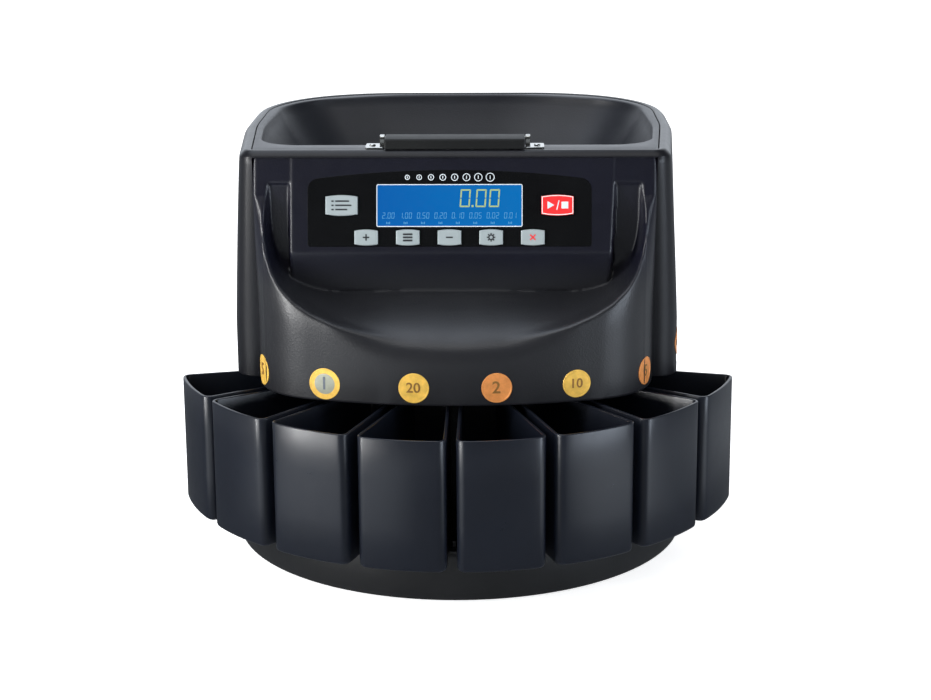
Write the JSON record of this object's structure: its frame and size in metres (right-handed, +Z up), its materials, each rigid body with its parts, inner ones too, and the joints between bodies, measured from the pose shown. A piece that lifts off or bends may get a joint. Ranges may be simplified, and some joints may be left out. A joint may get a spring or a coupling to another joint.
{
  "type": "coin sorting machine",
  "caption": "Desktop coin sorting machine: open hopper over a belt-driven sorting disc, sloped control panel with display and keys, and pull-out coin cups fanned around the front.",
  "frame": {"origin": "centre of the overall box on the surface the feet stand on", "axes": "+Z up, the control panel and cups face -Y, +X to the right seen from the front"},
  "size_m": [0.353, 0.3342, 0.2738],
  "materials": {
    "housing": "fine grained black plastic",
    "cover": "grained black plastic",
    "cup": "smooth satin black plastic",
    "base": "satin black plastic",
    "rubber": "matt rubber",
    "gloss": "gloss black",
    "glass": "backlit blue display window",
    "key": "pale grey keys",
    "key_red": "red key",
    "steel": "satin steel",
    "aluminium": "satin aluminium",
    "chrome": "polished chrome",
    "board": "green circuit board",
    "nylon": "natural nylon",
    "belt": "black rubber belt",
    "brass": "sintered bronze"
  },
  "bodies": {
    "housing": {"outer_shell": "housing", "chute_deck": "housing", "front_cover": "cover", "base_plinth": "base", "rear_body": "base", "rubber_foot_1": "rubber", "rubber_foot_2": "rubber", "rubber_foot_3": "rubber", "rubber_foot_4": "rubber", "panel_overlay": "gloss", "coin_sensor": "gloss", "power_inlet": "gloss", "power_switch_frame": "gloss", "printer_port": "gloss", "display_port": "gloss", "display_window": "glass", "drive_motor": "steel", "connector_panel": "steel", "deck_screw_1": "steel", "deck_screw_2": "steel", "deck_screw_3": "steel", "deck_screw_4": "steel", "sorting_plate": "aluminium", "coin_rail": "aluminium", "motor_bracket": "aluminium", "power_supply": "aluminium", "display_board": "board", "counter_board": "board", "main_board": "board", "lcd_module": "nylon", "drive_belt": "belt", "disc_bearing": "brass"},
    "hopper": {"hopper_bowl": "housing", "handle_bracket_left": "chrome", "handle_bracket_right": "chrome"},
    "lift_handle": {"lift_handle": "base"},
    "coin_rotor": {"coin_disc": "steel", "disc_pulley": "nylon"},
    "motor_rotor": {"motor_shaft": "steel", "motor_pulley": "nylon"},
    "power_rocker": {"power_rocker": "key_red"},
    "coin_cup_1": {"coin_cup_1": "cup"},
    "coin_cup_2": {"coin_cup_2": "cup"},
    "coin_cup_3": {"coin_cup_3": "cup"},
    "coin_cup_4": {"coin_cup_4": "cup"},
    "coin_cup_5": {"coin_cup_5": "cup"},
    "coin_cup_6": {"coin_cup_6": "cup"},
    "coin_cup_7": {"coin_cup_7": "cup"},
    "coin_cup_8": {"coin_cup_8": "cup"},
    "report_button": {"report_button": "key"},
    "start_stop_button": {"start_stop_button": "key_red"},
    "plus_button": {"plus_button": "key"},
    "batch_button": {"batch_button": "key"},
    "minus_button": {"minus_button": "key"},
    "set_button": {"set_button": "key"},
    "clear_button": {"clear_button": "key"}
  },
  "joints": [
    {"name": "coin_cup_1_slide", "type": "slide", "parent": "housing", "child": "coin_cup_1", "axis": [-0.9195, -0.3931, 0], "range_m": [0, 0.11]},
    {"name": "coin_cup_2_slide", "type": "slide", "parent": "housing", "child": "coin_cup_2", "axis": [-0.7402, -0.6724, 0], "range_m": [0, 0.11]},
    {"name": "coin_cup_3_slide", "type": "slide", "parent": "housing", "child": "coin_cup_3", "axis": [-0.4795, -0.8776, 0], "range_m": [0, 0.11]},
    {"name": "coin_cup_4_slide", "type": "slide", "parent": "housing", "child": "coin_cup_4", "axis": [-0.1659, -0.9861, 0], "range_m": [0, 0.11]},
    {"name": "coin_cup_5_slide", "type": "slide", "parent": "housing", "child": "coin_cup_5", "axis": [0.1659, -0.9861, 0], "range_m": [0, 0.11]},
    {"name": "coin_cup_6_slide", "type": "slide", "parent": "housing", "child": "coin_cup_6", "axis": [0.4795, -0.8776, 0], "range_m": [0, 0.11]},
    {"name": "coin_cup_7_slide", "type": "slide", "parent": "housing", "child": "coin_cup_7", "axis": [0.7402, -0.6724, 0], "range_m": [0, 0.11]},
    {"name": "coin_cup_8_slide", "type": "slide", "parent": "housing", "child": "coin_cup_8", "axis": [0.9195, -0.3931, 0], "range_m": [0, 0.11]},
    {"name": "hopper_lift", "type": "slide", "parent": "housing", "child": "hopper", "axis": [0, 0, 1], "range_m": [0, 0.12]},
    {"name": "handle_fold", "type": "hinge", "parent": "hopper", "child": "lift_handle", "pos_m": [0, -0.0331, 0.2705], "axis": [-1, 0, 0], "range_deg": [0, 90]},
    {"name": "report_press", "type": "slide", "parent": "housing", "child": "report_button", "axis": [0, 0.9632, -0.2689], "range_m": [0, 0.0008], "stiffness_N_per_m": 900, "springref_m": -0.0006},
    {"name": "start_stop_press", "type": "slide", "parent": "housing", "child": "start_stop_button", "axis": [0, 0.9632, -0.2689], "range_m": [0, 0.0008], "stiffness_N_per_m": 900, "springref_m": -0.0006},
    {"name": "plus_press", "type": "slide", "parent": "housing", "child": "plus_button", "axis": [0, 0.9632, -0.2689], "range_m": [0, 0.0008], "stiffness_N_per_m": 900, "springref_m": -0.0006},
    {"name": "batch_press", "type": "slide", "parent": "housing", "child": "batch_button", "axis": [0, 0.9632, -0.2689], "range_m": [0, 0.0008], "stiffness_N_per_m": 900, "springref_m": -0.0006},
    {"name": "minus_press", "type": "slide", "parent": "housing", "child": "minus_button", "axis": [0, 0.9632, -0.2689], "range_m": [0, 0.0008], "stiffness_N_per_m": 900, "springref_m": -0.0006},
    {"name": "set_press", "type": "slide", "parent": "housing", "child": "set_button", "axis": [0, 0.9632, -0.2689], "range_m": [0, 0.0008], "stiffness_N_per_m": 900, "springref_m": -0.0006},
    {"name": "clear_press", "type": "slide", "parent": "housing", "child": "clear_button", "axis": [0, 0.9632, -0.2689], "range_m": [0, 0.0008], "stiffness_N_per_m": 900, "springref_m": -0.0006},
    {"name": "disc_spin", "type": "hinge", "parent": "housing", "child": "coin_rotor", "pos_m": [0, 0.0165, 0.1501], "axis": [0, 0, 1], "continuous": true},
    {"name": "motor_spin", "type": "hinge", "parent": "housing", "child": "motor_rotor", "pos_m": [0, 0.1085, 0.107], "axis": [0, 0, 1], "continuous": true},
    {"name": "power_rock", "type": "hinge", "parent": "housing", "child": "power_rocker", "pos_m": [0.002, 0.1585, 0.154], "axis": [-1, 0, 0], "range_deg": [0, 14]}
  ],
  "couplings": [
    {"joint": "motor_spin", "follows": "disc_spin", "ratio": 3.0039}
  ]
}
